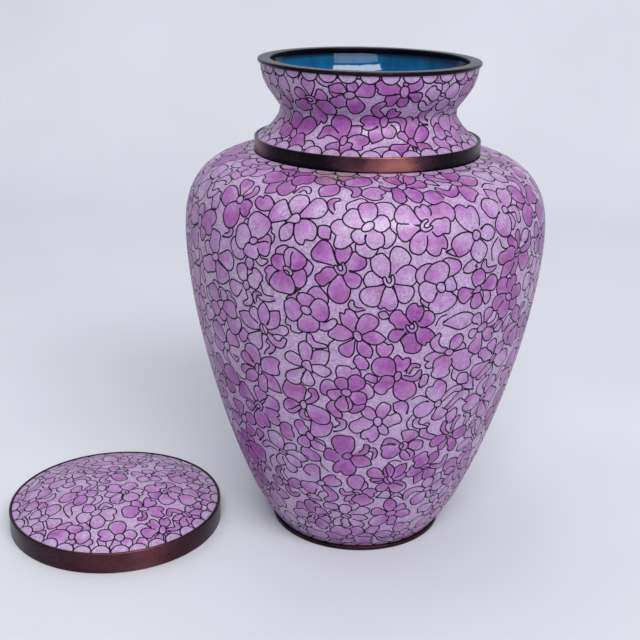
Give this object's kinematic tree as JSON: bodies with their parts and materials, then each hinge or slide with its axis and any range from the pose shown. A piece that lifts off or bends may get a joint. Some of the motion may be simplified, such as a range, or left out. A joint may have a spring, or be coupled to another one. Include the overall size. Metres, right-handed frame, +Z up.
{
  "type": "cloisonne lidded jar",
  "caption": "Tall shouldered jar of enamelled copper with a flared neck and dark copper bands, standing open beside its shallow domed slip-over lid.",
  "frame": {"origin": "on the jar's axis, at the level of the surface that jar and lid stand on, just below the middle of the jar's recessed base", "axes": "+Z up along the jar's axis; +X to the right and +Y away as one faces the jar with its lid lying at front left"},
  "size_m": [0.2698, 0.1764, 0.24],
  "materials": {
    "enamel": "polished lilac cloisonne enamel, with deeper orchid petals between fine dark wires",
    "copper": "copper with a dark brown patina, worn reddish where it is handled"
  },
  "bodies": {
    "root": {"jar_body": "enamel", "neck": "enamel", "lid_dome": "enamel", "collar_band": "copper", "mouth_rim": "copper", "foot_ring": "copper", "lid_band": "copper"}
  },
  "joints": []
}
